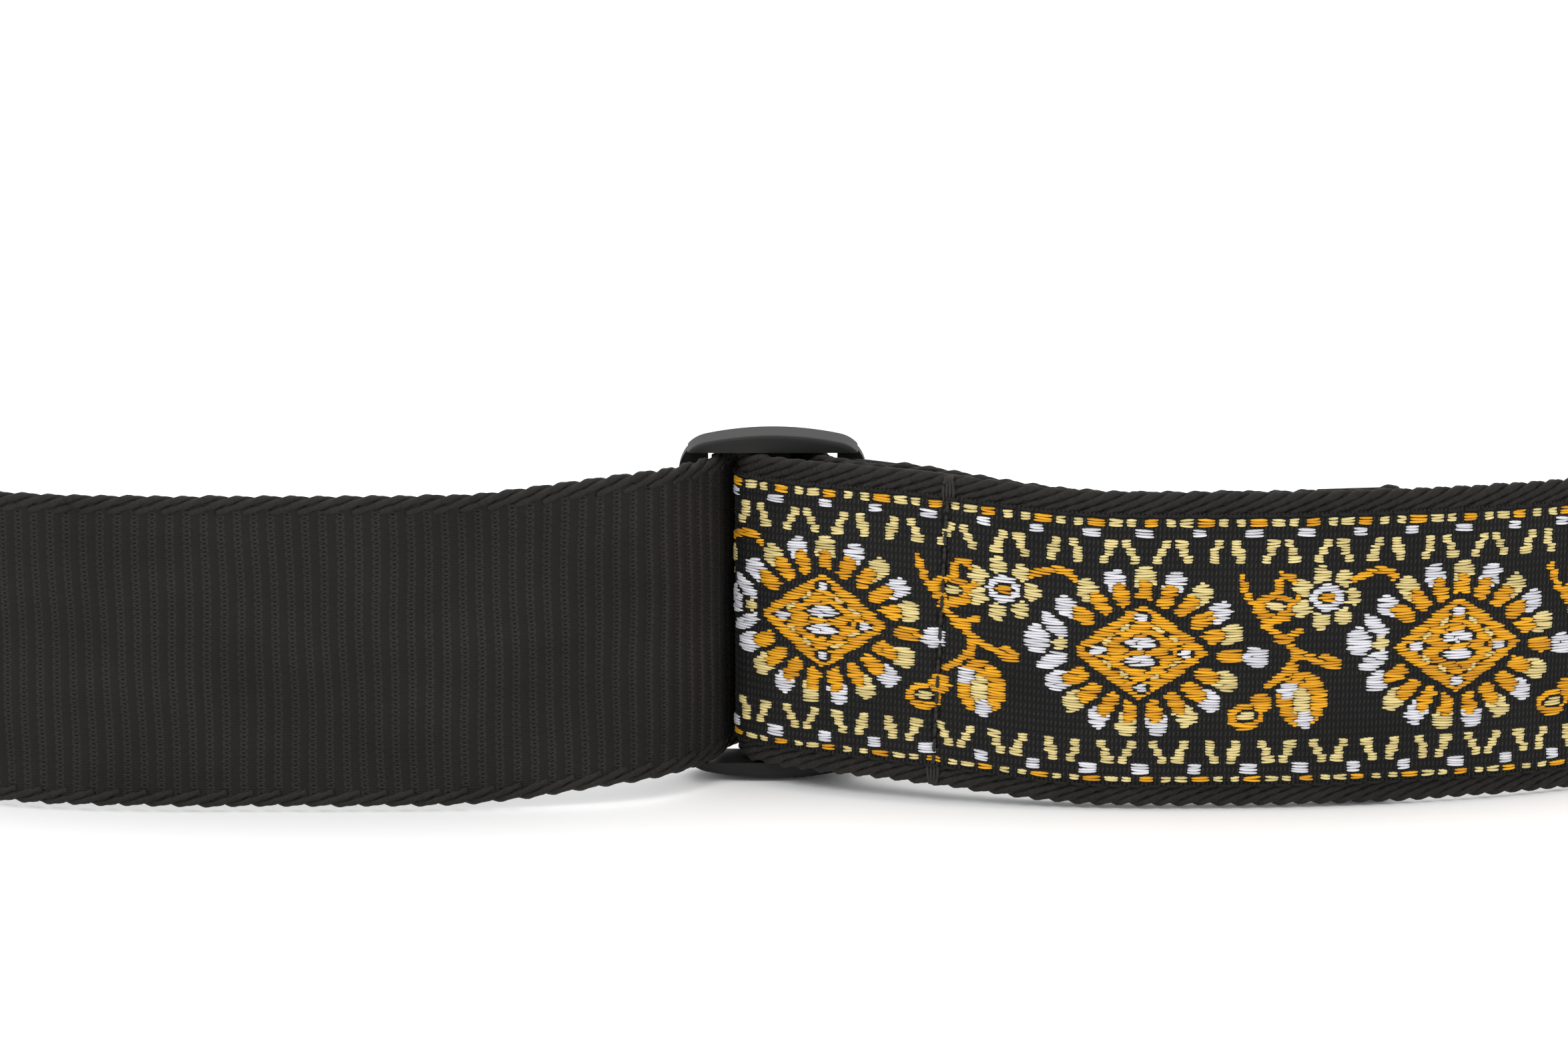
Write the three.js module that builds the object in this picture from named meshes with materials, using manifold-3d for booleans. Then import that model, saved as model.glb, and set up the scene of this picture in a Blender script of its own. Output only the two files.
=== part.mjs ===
// Woven guitar strap: a jacquard shoulder strap sewn round the centre bar of a three-bar slider, and a
// plain adjusting webbing threaded through the same slider, each ending in a leather tab with a button hole.
// The strap stands on its lower edge in a horseshoe. Millimetres, +Z up.
// Origin: the axis of the slider's centre bar, at the level the straps' lower edges stand on.
import * as THREE from "three";
import { mergeVertices } from "three/addons/utils/BufferGeometryUtils.js";
import Module from "manifold-3d";

const wasm = await Module();
wasm.setup();

// Driving dimensions
const STRAP_WIDTH = 50.8;
const ADJUSTER_WIDTH = 49.8;
const RIBBON_WIDTH = 44.2;
const WEBBING = 1.7; // thickness of both webbings
const RIBBON = 0.8;
const SKIN_GAP = 0.1; // between layers that lie on each other
const SLIDER_LENGTH = 30.2;
const SLIDER_HEIGHT = 56.6;
const RAIL_DEPTH = 8.4;
const RAIL_ARCH = 1.1; // rise of each rail's arch above its ends
const CORNER_LENGTH = 4.5; // how far each rounded corner reaches along the rail
const CORNER_HEIGHT = 6.5; // and along the end bar
const MOULDED_EDGE = 0.7; // softened edge of the slider's moulding
const BAR_DEPTH = 3.6;
const OUTER_BAR = 4.8;
const CENTRE_BAR = 5.6;
const SLOT_HEIGHT = 51.1;
const LIFT = (SLIDER_HEIGHT - STRAP_WIDTH) / 2; // how far the slider raises the straps off their edges
const LIFT_REACH = 38; // along X, where that rise has faded to about a third
const LEG_X = 203; // the two legs stand this far either side of the slider
const LEG_END_Y = 246; // where the webbing ends, inside the leather
const LOOP_RADIUS = 3.6; // inside of the sewn loop, round the centre bar
const RIBBON_START_X = 0.5; // the ribbon's raw end lies behind the centre bar
const SEAM_X = 26.6; // the cross seam that closes the loop
const FOLD_SHARE = 0.38; // how much of the strap's first sweep the folded layer lies behind
const FOLD_GAP = 2.4; // middle of the strap to middle of its folded layer
const BOW = 18.5; // how far the shoulder strap bows out in front of the slider
const BOW_X = 62;
const LEFT_BOW = 20; // and the adjusting webbing on the other side
const LEFT_BOW_X = 95;
const LEG_STRAIGHT_Y = 145; // beyond here the legs are straight
const SPLIT_X = 17.2; // where the threaded stretch of the webbing meets the run and the tail
const TAIL_END_X = 98;
const TAIL_SHARE = 0.13; // how much of the strap's corner the tail lies behind
const TAIL_GAP = 2.6; // middle of the strap to middle of the tail
const HEM = 14;
const LEATHER = 1.6;
const PLY_LENGTH = 46;
const WEBBING_IN_TAB = 40;
const TIP_LENGTH = 84;
const TIP_END_WIDTH = 36;
const TIP_THICKNESS = 3.4;
const TIP_GAP = 2.2; // bare leather at the flex line between the sewn plies and the tip
const BUTTON_HOLE = 9;
const BUTTON_HOLE_FROM_END = 20;
const SLIT_LENGTH = 13;
const SLIT_WIDTH = 2.2;
const THREAD = 0.7;
const SEAM_FROM_EDGE = 4.5; // the seam round each leather ply, in from the ply's edges

const finish = (colour, roughness) =>
  new THREE.MeshStandardMaterial({ color: colour, roughness, metalness: 0 });
const BLACK_WEBBING = finish(0x1d1b1b, 0.7);
const JACQUARD = finish(0x6b5323, 0.75);
const BLACK_PLASTIC = finish(0x23211f, 0.5);
const BLACK_LEATHER = finish(0x1b1918, 0.55);
const BLACK_THREAD = finish(0x151414, 0.6);

const strap = new THREE.Group();

function add(name, geometry, material) {
  const mesh = new THREE.Mesh(geometry, material);
  mesh.name = name;
  strap.add(mesh);
  return mesh;
}

// The straps ride up over the slider's lower rail and settle back onto their edges either side of it.
const lift = (x) => LIFT * Math.exp(-((x / LIFT_REACH) ** 4));

// Points on a circle round the centre bar, from one angle to another, in degrees.
function arc(radius, from, to, count) {
  const points = [];
  for (let i = 0; i < count; i++) {
    const a = THREE.MathUtils.degToRad(from + ((to - from) * i) / (count - 1));
    points.push([radius * Math.cos(a), radius * Math.sin(a)]);
  }
  return points;
}

// Points on a cubic curve given as start, pull, push and end, moved to its left by a gap. share is how much
// of the curve is used.
function sweep(corners, count, gap = 0, share = 1) {
  const curve = new THREE.CubicBezierCurve(...corners.map(([x, y]) => new THREE.Vector2(x, y)));
  const points = [];
  for (let i = 0; i <= count; i++) {
    const t = (share * i) / count;
    const point = curve.getPoint(t);
    const tangent = curve.getTangent(t);
    points.push([point.x - gap * tangent.y, point.y + gap * tangent.x]);
  }
  return points;
}

// Stations along a smooth plan-view path, closer together where the path's own points are.
function stationsAlong(path) {
  const curve = new THREE.SplineCurve(path.map(([x, y]) => new THREE.Vector2(x, y)));
  const stations = [];
  const spans = path.length - 1;
  for (let span = 0; span < spans; span++) {
    const length = curve.points[span].distanceTo(curve.points[span + 1]);
    const steps = Math.max(2, Math.round(length / 5));
    for (let i = 0; i < steps; i++) stations.push((span + i / steps) / spans);
  }
  stations.push(1);
  return stations.map((t) => {
    const tangent = curve.getTangent(t);
    return { point: curve.getPoint(t), normal: new THREE.Vector2(-tangent.y, tangent.x) };
  });
}

// A band of webbing standing on edge: the stations, thickened both ways and drawn up by its width.
// side moves the band off the path, to its left as it runs.
function band({ stations, thickness, width, side = 0 }) {
  const left = [];
  const right = [];
  for (const { point, normal } of stations) {
    left.push(point.clone().addScaledVector(normal, side + thickness / 2));
    right.push(point.clone().addScaledVector(normal, side - thickness / 2));
  }
  const outline = new THREE.Shape([...left, ...right.reverse()]);
  const geometry = new THREE.ExtrudeGeometry(outline, { depth: width, bevelEnabled: false });
  const position = geometry.getAttribute("position");
  for (let i = 0; i < position.count; i++) {
    const low = (STRAP_WIDTH - width) / 2;
    position.setZ(i, position.getZ(i) + low + lift(position.getX(i)));
  }
  return geometry;
}

// manifold-3d and back, for the booleans.
function solid(geometry) {
  const bare = geometry.clone();
  bare.deleteAttribute("normal");
  bare.deleteAttribute("uv");
  const merged = mergeVertices(bare.index ? bare.toNonIndexed() : bare, 1e-4);
  return new wasm.Manifold(
    new wasm.Mesh({
      numProp: 3,
      vertProperties: merged.attributes.position.array,
      triVerts: new Uint32Array(merged.index.array),
    }),
  );
}

function geometryOf(made) {
  const mesh = made.getMesh();
  const geometry = new THREE.BufferGeometry();
  geometry.setAttribute("position", new THREE.BufferAttribute(mesh.vertProperties, 3));
  geometry.setIndex(new THREE.BufferAttribute(mesh.triVerts, 1));
  geometry.computeVertexNormals();
  return geometry;
}

const box = (x, y, z) => new THREE.BoxGeometry(x, y, z);

// ---- The slider: two deep arched rails joined by three thinner bars ----
function sliderOutline() {
  const halfLength = SLIDER_LENGTH / 2;
  const halfHeight = SLIDER_HEIGHT / 2;
  const railEnd = halfHeight - RAIL_ARCH; // where the arched rail meets the rounded corner
  const sideEnd = railEnd - CORNER_HEIGHT;
  const inset = halfLength - CORNER_LENGTH;
  const soft = 2.2; // the smaller, the squarer the corners
  const slope = 0.48; // drop of each rail's tangent where it runs into the corner
  const shape = new THREE.Shape();
  shape.moveTo(-halfLength, -sideEnd);
  shape.bezierCurveTo(-halfLength, -railEnd + soft, -halfLength + soft, -railEnd + slope, -inset, -railEnd);
  shape.quadraticCurveTo(0, -halfHeight - RAIL_ARCH, inset, -railEnd);
  shape.bezierCurveTo(halfLength - soft, -railEnd + slope, halfLength, -railEnd + soft, halfLength, -sideEnd);
  shape.lineTo(halfLength, sideEnd);
  shape.bezierCurveTo(halfLength, railEnd - soft, halfLength - soft, railEnd - slope, inset, railEnd);
  shape.quadraticCurveTo(0, halfHeight + RAIL_ARCH, -inset, railEnd);
  shape.bezierCurveTo(-halfLength + soft, railEnd - slope, -halfLength, railEnd - soft, -halfLength, sideEnd);
  shape.closePath();
  return shape;
}

function sliderFrame() {
  const depth = RAIL_DEPTH - 2 * MOULDED_EDGE;
  const blank = new THREE.ExtrudeGeometry(sliderOutline(), {
    depth,
    bevelThickness: MOULDED_EDGE,
    bevelSize: MOULDED_EDGE,
    bevelOffset: -MOULDED_EDGE,
    bevelSegments: 3,
    curveSegments: 15, // an odd count leaves a flat facet under the middle of the lower rail
  });
  blank.translate(0, 0, -depth / 2);
  blank.rotateX(Math.PI / 2);
  let made = solid(blank);
  const slot = (SLIDER_LENGTH - 2 * OUTER_BAR - CENTRE_BAR) / 2;
  for (const way of [-1, 1]) {
    const hole = box(slot, 2 * RAIL_DEPTH, SLOT_HEIGHT);
    hole.translate(way * (CENTRE_BAR + slot) / 2, 0, 0);
    made = made.subtract(solid(hole));
    // The bars are thinner than the rails, so their faces are set back front and rear.
    const setBack = box(SLIDER_LENGTH + 2, RAIL_DEPTH, SLOT_HEIGHT);
    setBack.translate(0, (way * (BAR_DEPTH + RAIL_DEPTH)) / 2, 0);
    made = made.subtract(solid(setBack));
  }
  const frame = geometryOf(made);
  frame.computeBoundingBox();
  return frame.translate(0, 0, -frame.boundingBox.min.z);
}
add("slider_frame", sliderFrame(), BLACK_PLASTIC);

// ---- The shoulder strap: webbing, folded round the centre bar, with the jacquard ribbon on its face ----
const loopCentre = LOOP_RADIUS + WEBBING / 2;
const RIGHT_BOW = [
  [15, -12.2],
  [27, -16.6],
  [45, -BOW],
  [BOW_X, -BOW],
];
const RIGHT_CORNER = [
  [BOW_X, -BOW],
  [BOW_X + 100, -BOW],
  [LEG_X, LEG_STRAIGHT_Y - 110],
  [LEG_X, LEG_STRAIGHT_Y],
];
const FRONT_LAYER = [
  [1, -6.2],
  [5, -8.2],
  [10, -10.4],
  ...sweep(RIGHT_BOW, 5),
  ...sweep(RIGHT_CORNER, 16).slice(1),
  [LEG_X, LEG_END_Y - 71],
  [LEG_X, LEG_END_Y],
];
const FOLDED_LAYER = [
  ...sweep(RIGHT_BOW, 3, FOLD_GAP, FOLD_SHARE).reverse(),
  [11.3, -7.7],
  [8.5, -5.2],
  [7, -2.8],
  [6.3, 0],
  [4.8, 2.6],
];
const roundCentreBar = arc(loopCentre, 60, 240, 11);
const backing = stationsAlong([...FOLDED_LAYER, ...roundCentreBar, ...FRONT_LAYER]);
add(
  "backing_webbing",
  band({ stations: backing, thickness: WEBBING, width: STRAP_WIDTH }),
  BLACK_WEBBING,
);
// The ribbon starts behind the centre bar and runs the length of the strap's outer face.
const ribbonSide = WEBBING / 2 + SKIN_GAP + RIBBON / 2;
const ribbonStart = backing.findIndex(({ point }) => point.y > 4 && point.x < RIBBON_START_X);
add(
  "jacquard_ribbon",
  band({ stations: backing.slice(ribbonStart), thickness: RIBBON, width: RIBBON_WIDTH, side: -ribbonSide }),
  JACQUARD,
);

// One straight seam sewn across a band, drawn as one cord that far out from the band's middle.
function crossSeam(name, stations, x, away, width) {
  const { point, normal } = stations.findLast((station) => station.point.x < x);
  const place = point.clone().addScaledVector(normal, away);
  const cord = box(THREAD, THREAD, width);
  cord.translate(place.x, place.y, STRAP_WIDTH / 2 + lift(place.x));
  add(name, cord, BLACK_THREAD);
}
const ribbonFace = ribbonSide + RIBBON / 2;
crossSeam("loop_stitching", backing, SEAM_X, -(ribbonFace + THREAD), STRAP_WIDTH - 1);

// ---- The adjusting webbing: run to the left tab, stretch threaded through the slider, and tail ----
const THREADED = [
  [-SPLIT_X, -12.4],
  [-14.2, -9.6],
  [-11.6, -6.2],
  [-9.5, -2.9],
  [-8.6, 0.4],
  [-7.8, 3.2],
  [-5.9, 5.6],
  [-3.1, 7.1],
  [0, 7.5],
  [3.4, 6.6],
  [6.3, 4.4],
  [8.1, 1.6],
  [8.7, -0.9],
  [9.55, -2.8],
  [11.4, -3.7],
  [14.2, -3.9],
  [SPLIT_X, -5.1],
];
add(
  "webbing_in_slider",
  band({ stations: stationsAlong(THREADED), thickness: WEBBING, width: ADJUSTER_WIDTH }),
  BLACK_WEBBING,
);
const LEFT_SWEEP = [
  [-SPLIT_X - 0.3, -12.7],
  [-28, -LEFT_BOW - 1],
  [-60, -LEFT_BOW],
  [-LEFT_BOW_X, -LEFT_BOW],
];
const LEFT_CORNER = [
  [-LEFT_BOW_X, -LEFT_BOW],
  [-LEFT_BOW_X - 70, -LEFT_BOW],
  [-LEG_X, LEG_STRAIGHT_Y - 105],
  [-LEG_X, LEG_STRAIGHT_Y],
];
const RUN = [
  ...sweep(LEFT_SWEEP, 8),
  ...sweep(LEFT_CORNER, 14).slice(1),
  [-LEG_X, LEG_END_Y - 71],
  [-LEG_X, LEG_END_Y],
];
add(
  "adjuster_webbing",
  band({ stations: stationsAlong(RUN), thickness: WEBBING, width: ADJUSTER_WIDTH }),
  BLACK_WEBBING,
);
const TAIL_LEAVES = [
  [SPLIT_X + 0.3, -5.3],
  [28, -10.6],
  [42, TAIL_GAP - BOW],
  [BOW_X, TAIL_GAP - BOW],
];
const TAIL = [
  ...sweep(TAIL_LEAVES, 5),
  ...sweep(RIGHT_CORNER, 4, TAIL_GAP, TAIL_SHARE).slice(1),
];
const tail = stationsAlong(TAIL);
add("adjuster_tail", band({ stations: tail, thickness: WEBBING, width: ADJUSTER_WIDTH }), BLACK_WEBBING);
const hem = tail.filter(({ point }) => point.x > TAIL_END_X - HEM);
const hemSide = WEBBING + SKIN_GAP;
add(
  "tail_hem",
  band({ stations: hem, thickness: WEBBING, width: ADJUSTER_WIDTH, side: hemSide }),
  BLACK_WEBBING,
);
const hemFace = hemSide + WEBBING / 2;
crossSeam("tail_hem_stitching", hem, TAIL_END_X - HEM / 3, hemFace + THREAD, ADJUSTER_WIDTH - 1);

// ---- The leather tabs ----
// Drawn flat, x along the strap and y across it, then stood up so that x runs along +Y and y up.
function standUp(geometry, x, y) {
  const stand = new THREE.Matrix4().makeBasis(
    new THREE.Vector3(0, 1, 0),
    new THREE.Vector3(0, 0, 1),
    new THREE.Vector3(1, 0, 0),
  );
  return geometry.applyMatrix4(stand).translate(x, y, STRAP_WIDTH / 2);
}

function roundedRectangle(path, x0, x1, halfWidth, r) {
  path.moveTo(x0 + r, -halfWidth);
  path.lineTo(x1 - r, -halfWidth);
  path.absarc(x1 - r, -halfWidth + r, r, -Math.PI / 2, 0);
  path.lineTo(x1, halfWidth - r);
  path.absarc(x1 - r, halfWidth - r, r, 0, Math.PI / 2);
  path.lineTo(x0 + r, halfWidth);
  path.absarc(x0 + r, halfWidth - r, r, Math.PI / 2, Math.PI);
  path.lineTo(x0, -halfWidth + r);
  path.absarc(x0 + r, -halfWidth + r, r, Math.PI, Math.PI * 1.5);
  return path;
}

function plate(shape, thickness) {
  const geometry = new THREE.ExtrudeGeometry(shape, {
    depth: thickness,
    bevelEnabled: false,
    curveSegments: 8,
  });
  return geometry.translate(0, 0, -thickness / 2);
}

function tipShape() {
  const wide = STRAP_WIDTH / 2;
  const narrow = TIP_END_WIDTH / 2;
  const shape = new THREE.Shape();
  shape.moveTo(0, -wide);
  shape.bezierCurveTo(20, -wide, 34, -narrow - 3, TIP_LENGTH - narrow, -narrow);
  shape.absarc(TIP_LENGTH - narrow, 0, narrow, -Math.PI / 2, Math.PI / 2);
  shape.bezierCurveTo(34, narrow + 3, 20, wide, 0, wide);
  shape.closePath();
  const hole = new THREE.Path();
  const centre = TIP_LENGTH - BUTTON_HOLE_FROM_END;
  const r = BUTTON_HOLE / 2;
  const meet = Math.asin(SLIT_WIDTH / 2 / r); // the slit runs from the hole towards the strap
  hole.moveTo(centre - r - SLIT_LENGTH, SLIT_WIDTH / 2);
  hole.absarc(centre, 0, r, Math.PI - meet, -Math.PI + meet, true);
  hole.lineTo(centre - r - SLIT_LENGTH, -SLIT_WIDTH / 2);
  shape.holes.push(hole);
  return shape;
}

// Each tab: leather plies sewn either side of the webbing's end, and the tip that buttons onto the guitar.
function tab(side, legX, layers) {
  const outward = Math.sign(legX);
  const plyStart = LEG_END_Y - WEBBING_IN_TAB;
  const faces = { outer: outward, inner: -outward };
  for (const [face, way] of Object.entries(faces)) {
    const x = legX + way * (layers[face] + SKIN_GAP + LEATHER / 2);
    const ply = plate(roundedRectangle(new THREE.Shape(), 0, PLY_LENGTH, STRAP_WIDTH / 2, 2.5), LEATHER);
    add(`${side}_tab_${face}_ply`, standUp(ply, x, plyStart), BLACK_LEATHER);
    const seamStart = SEAM_FROM_EDGE;
    const seamEnd = PLY_LENGTH - SEAM_FROM_EDGE;
    const seamHalf = STRAP_WIDTH / 2 - SEAM_FROM_EDGE;
    const ring = roundedRectangle(new THREE.Shape(), seamStart, seamEnd, seamHalf, 2);
    const inside = new THREE.Path();
    roundedRectangle(inside, seamStart + THREAD, seamEnd - THREAD, seamHalf - THREAD, 1.5);
    ring.holes.push(inside);
    const seam = standUp(plate(ring, THREAD * 0.8), x + way * (LEATHER / 2 + THREAD * 0.5), plyStart);
    add(`${side}_tab_${face}_stitching`, seam, BLACK_THREAD);
  }
  const tip = standUp(plate(tipShape(), TIP_THICKNESS), legX, plyStart + PLY_LENGTH + TIP_GAP);
  add(`${side}_tab_tip`, tip, BLACK_LEATHER);
}
const bare = WEBBING / 2;
tab("right", LEG_X, { outer: bare + SKIN_GAP + RIBBON, inner: bare });
tab("left", -LEG_X, { outer: bare, inner: bare });

export default strap;
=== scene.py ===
# Looks for the woven guitar strap: ribs, cords, jacquard threads, stitches and leather over the CAD frame.
# Lengths in this script are millimetres until a mesh is made; Blender's own units are metres.
import math

import bmesh
import bpy
import numpy as np
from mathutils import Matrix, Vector


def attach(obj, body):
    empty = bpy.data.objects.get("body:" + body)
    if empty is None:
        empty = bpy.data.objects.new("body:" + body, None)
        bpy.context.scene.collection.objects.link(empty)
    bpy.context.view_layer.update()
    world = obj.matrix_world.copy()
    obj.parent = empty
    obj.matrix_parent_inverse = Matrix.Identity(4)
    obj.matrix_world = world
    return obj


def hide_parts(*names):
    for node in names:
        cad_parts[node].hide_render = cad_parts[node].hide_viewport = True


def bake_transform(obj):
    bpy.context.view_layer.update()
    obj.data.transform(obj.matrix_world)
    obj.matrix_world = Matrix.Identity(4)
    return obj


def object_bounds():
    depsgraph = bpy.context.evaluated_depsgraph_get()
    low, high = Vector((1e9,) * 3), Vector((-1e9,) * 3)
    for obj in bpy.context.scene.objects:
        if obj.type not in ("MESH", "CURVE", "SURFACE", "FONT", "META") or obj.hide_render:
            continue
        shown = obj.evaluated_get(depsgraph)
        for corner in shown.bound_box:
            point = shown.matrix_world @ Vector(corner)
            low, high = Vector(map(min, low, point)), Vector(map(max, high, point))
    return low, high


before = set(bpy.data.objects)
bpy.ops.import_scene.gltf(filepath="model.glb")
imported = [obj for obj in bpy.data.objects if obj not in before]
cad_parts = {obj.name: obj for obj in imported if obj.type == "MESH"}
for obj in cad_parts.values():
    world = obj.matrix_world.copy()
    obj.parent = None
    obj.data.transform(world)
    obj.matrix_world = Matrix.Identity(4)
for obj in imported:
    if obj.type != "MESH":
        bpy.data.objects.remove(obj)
cad_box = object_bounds()
dice = np.random.default_rng(7)

MM = 0.001
STRAP_WIDTH = 50.8
ADJUSTER_WIDTH = 49.8
RIBBON_WIDTH = 44.2
WEBBING = 1.7
RIBBON = 0.8
SKIN_GAP = 0.1
SLIDER_HEIGHT = 56.6
LIFT = (SLIDER_HEIGHT - STRAP_WIDTH) / 2  # how far the slider raises the straps off their lower edges
LIFT_REACH = 38
LEG_X = 203
LEG_END = 246
PLY_START = 206
PLY_LENGTH = 46
TIP_START = 254.2
TIP_LENGTH = 84
TIP_END_WIDTH = 36
LEATHER = 1.6
BUTTON_HOLE = 9
BUTTON_HOLE_FROM_END = 20
SLIT_LENGTH = 13
SLIT_WIDTH = 2.2
SEAM_X = 26.6
FOLD_SHARE = 0.38  # how much of the strap's first sweep the folded layer lies behind
FOLD_GAP = 2.4  # middle of the strap to middle of its folded layer
BOW = 18.5  # how far the shoulder strap bows out in front of the slider
BOW_X = 62
LEFT_BOW = 20  # and the adjusting webbing on the other side
LEFT_BOW_X = 95
CORNER_PULL, CORNER_PUSH = 100, 110  # handles of the curve from the bow into the right leg
LEFT_PULL, LEFT_PUSH = 70, 105
LEG_STRAIGHT = 145  # beyond here the legs are straight
LEG_MIDDLE = 175
TAIL_SHARE = 0.13  # how much of the strap's corner the tail lies behind
TAIL_GAP = 2.6  # middle of the strap to middle of the tail
TURN = 0.005  # how much sooner than that the tail's two layers end, to leave room for the hem's turn
HEM = 14
RIB_PITCH = 2.66
WARP_PITCH = 0.68  # the ribbon's lengthwise spacing of warp columns
FLOAT_PITCH = 0.42  # the coloured threads lie this far apart
REPEAT = 50.2  # one flower repeat of the ribbon
BORDER_PITCH = REPEAT / 6
SEAM_LEAN = 2.2  # how far the loop's seam strays along the strap from edge to edge
SEAM_PITCH = 2.6  # length of its stitches

# ---- Paths: the same plan-view lines as the CAD bands ----
LOOP_RADIUS = 4.45


def ring_points(first, last, count):
    angles = np.radians(np.linspace(first, last, count))
    return [(LOOP_RADIUS * math.cos(a), LOOP_RADIUS * math.sin(a)) for a in angles]


def sweep(corners, count, gap=0.0, share=1.0):
    """Points on a cubic curve given as start, pull, push and end, moved to its left by a gap."""
    p0, p1, p2, p3 = np.array(corners, float)
    t = np.linspace(0, share, count + 1)[:, None]
    points = p0 * (1 - t) ** 3 + 3 * p1 * t * (1 - t) ** 2 + 3 * p2 * t**2 * (1 - t) + p3 * t**3
    tangent = (p1 - p0) * (1 - t) ** 2 + 2 * (p2 - p1) * t * (1 - t) + (p3 - p2) * t**2
    tangent /= np.linalg.norm(tangent, axis=1)[:, None]
    left = np.stack([-tangent[:, 1], tangent[:, 0]], axis=1)
    return [tuple(point) for point in points + gap * left]


RIGHT_BOW = [(15, -12.2), (27, -16.6), (45, -BOW), (BOW_X, -BOW)]
RIGHT_CORNER = [(BOW_X, -BOW), (BOW_X + CORNER_PULL, -BOW),
                (LEG_X, LEG_STRAIGHT - CORNER_PUSH), (LEG_X, LEG_STRAIGHT)]
LEFT_SWEEP = [(-17.5, -12.7), (-28, -LEFT_BOW - 1), (-60, -LEFT_BOW), (-LEFT_BOW_X, -LEFT_BOW)]
LEFT_CORNER = [(-LEFT_BOW_X, -LEFT_BOW), (-LEFT_BOW_X - LEFT_PULL, -LEFT_BOW),
               (-LEG_X, LEG_STRAIGHT - LEFT_PUSH), (-LEG_X, LEG_STRAIGHT)]
TAIL_LEAVES = [(17.5, -5.3), (28, -10.6), (42, TAIL_GAP - BOW), (BOW_X, TAIL_GAP - BOW)]
FOLD = sweep(RIGHT_BOW, 3, FOLD_GAP, FOLD_SHARE)[::-1]
FOLD += [(11.3, -7.7), (8.5, -5.2), (7, -2.8), (6.3, 0), (4.8, 2.6)]
FRONT = [(1, -6.2), (5, -8.2), (10, -10.4)] + sweep(RIGHT_BOW, 5)
RIGHT_LEG = sweep(RIGHT_CORNER, 16)[1:] + [(LEG_X, LEG_MIDDLE), (LEG_X, LEG_END)]
LEFT_LEG = sweep(LEFT_SWEEP, 8) + sweep(LEFT_CORNER, 14)[1:]
LEFT_LEG += [(-LEG_X, LEG_MIDDLE), (-LEG_X, LEG_END)]
BEHIND = [(-14.2, -9.6), (-11.6, -6.2), (-9.5, -2.9), (-8.6, 0.4), (-7.8, 3.2), (-5.9, 5.6), (-3.1, 7.1)]
BEHIND += [(0, 7.5), (3.4, 6.6), (6.3, 4.4), (8.1, 1.6), (8.7, -0.9), (9.55, -2.8)]
BEHIND += [(11.4, -3.7), (14.2, -3.9)]
TAIL = sweep(TAIL_LEAVES, 5) + sweep(RIGHT_CORNER, 4, TAIL_GAP, TAIL_SHARE - TURN)[1:]
HEM_TURN = sweep(RIGHT_CORNER, 1, TAIL_GAP + 0.9, TAIL_SHARE)[1:]
HEM_BACK = sweep(RIGHT_CORNER, 3, TAIL_GAP + WEBBING + SKIN_GAP, TAIL_SHARE - TURN)[:1:-1]


class Path:
    """A smooth plan-view line through points, addressed by the length along it."""

    def __init__(self, points):
        knots = np.array([points[0], *points, points[-1]], float)
        dense = []
        for i in range(len(points) - 1):
            p0, p1, p2, p3 = knots[i : i + 4]
            v0, v1 = (p2 - p0) / 2, (p3 - p1) / 2
            t = np.linspace(0, 1, 40, endpoint=False)[:, None]
            cubic = 2 * p1 - 2 * p2 + v0 + v1
            square = -3 * p1 + 3 * p2 - 2 * v0 - v1
            dense.append(cubic * t**3 + square * t**2 + v0 * t + p1)
        dense.append(knots[-1:])
        self.xy = np.concatenate(dense)
        steps = np.linalg.norm(np.diff(self.xy, axis=0), axis=1)
        self.s = np.concatenate([[0], np.cumsum(steps)])
        self.length = self.s[-1]
        tangent = np.gradient(self.xy, self.s, axis=0)
        tangent /= np.linalg.norm(tangent, axis=1)[:, None]
        self.out = np.stack([tangent[:, 1], -tangent[:, 0]], axis=1)

    def near(self, x, y):
        """Length along the path of its nearest point to x, y."""
        return self.s[np.argmin(np.hypot(self.xy[:, 0] - x, self.xy[:, 1] - y))]

    def place(self, s, v, out):
        """Points in metres: s along the path, v above the strap's mid-width, out from the path's middle."""
        s, v, out = np.broadcast_arrays(s, v, out)
        x = np.interp(s, self.s, self.xy[:, 0]) + out * np.interp(s, self.s, self.out[:, 0])
        y = np.interp(s, self.s, self.xy[:, 1]) + out * np.interp(s, self.s, self.out[:, 1])
        z = STRAP_WIDTH / 2 + v + LIFT * np.exp(-((x / LIFT_REACH) ** 4))
        return np.stack([x, y, z], axis=-1) * MM


strap_path = Path(FOLD + ring_points(60, 240, 11) + FRONT + RIGHT_LEG)
adjuster_path = Path(LEFT_LEG[::-1] + BEHIND + TAIL + HEM_TURN + HEM_BACK)
seam_s = strap_path.near(SEAM_X, -15.2)
ribbon_start = strap_path.near(0.5, LOOP_RADIUS)


# ---- Mesh helpers ----
def make_object(name, points, faces, weave):
    mesh = bpy.data.meshes.new(name)
    mesh.from_pydata(points.reshape(-1, 3).tolist(), [], faces)
    layer = mesh.attributes.new("weave", "FLOAT_VECTOR", "POINT")
    layer.data.foreach_set("vector", weave.reshape(-1, 3).astype(np.float32).ravel())
    mesh.polygons.foreach_set("use_smooth", np.full(len(mesh.polygons), True))
    mesh.update()
    piece = bpy.data.objects.new(name, mesh)
    bpy.context.collection.objects.link(piece)
    return piece


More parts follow.
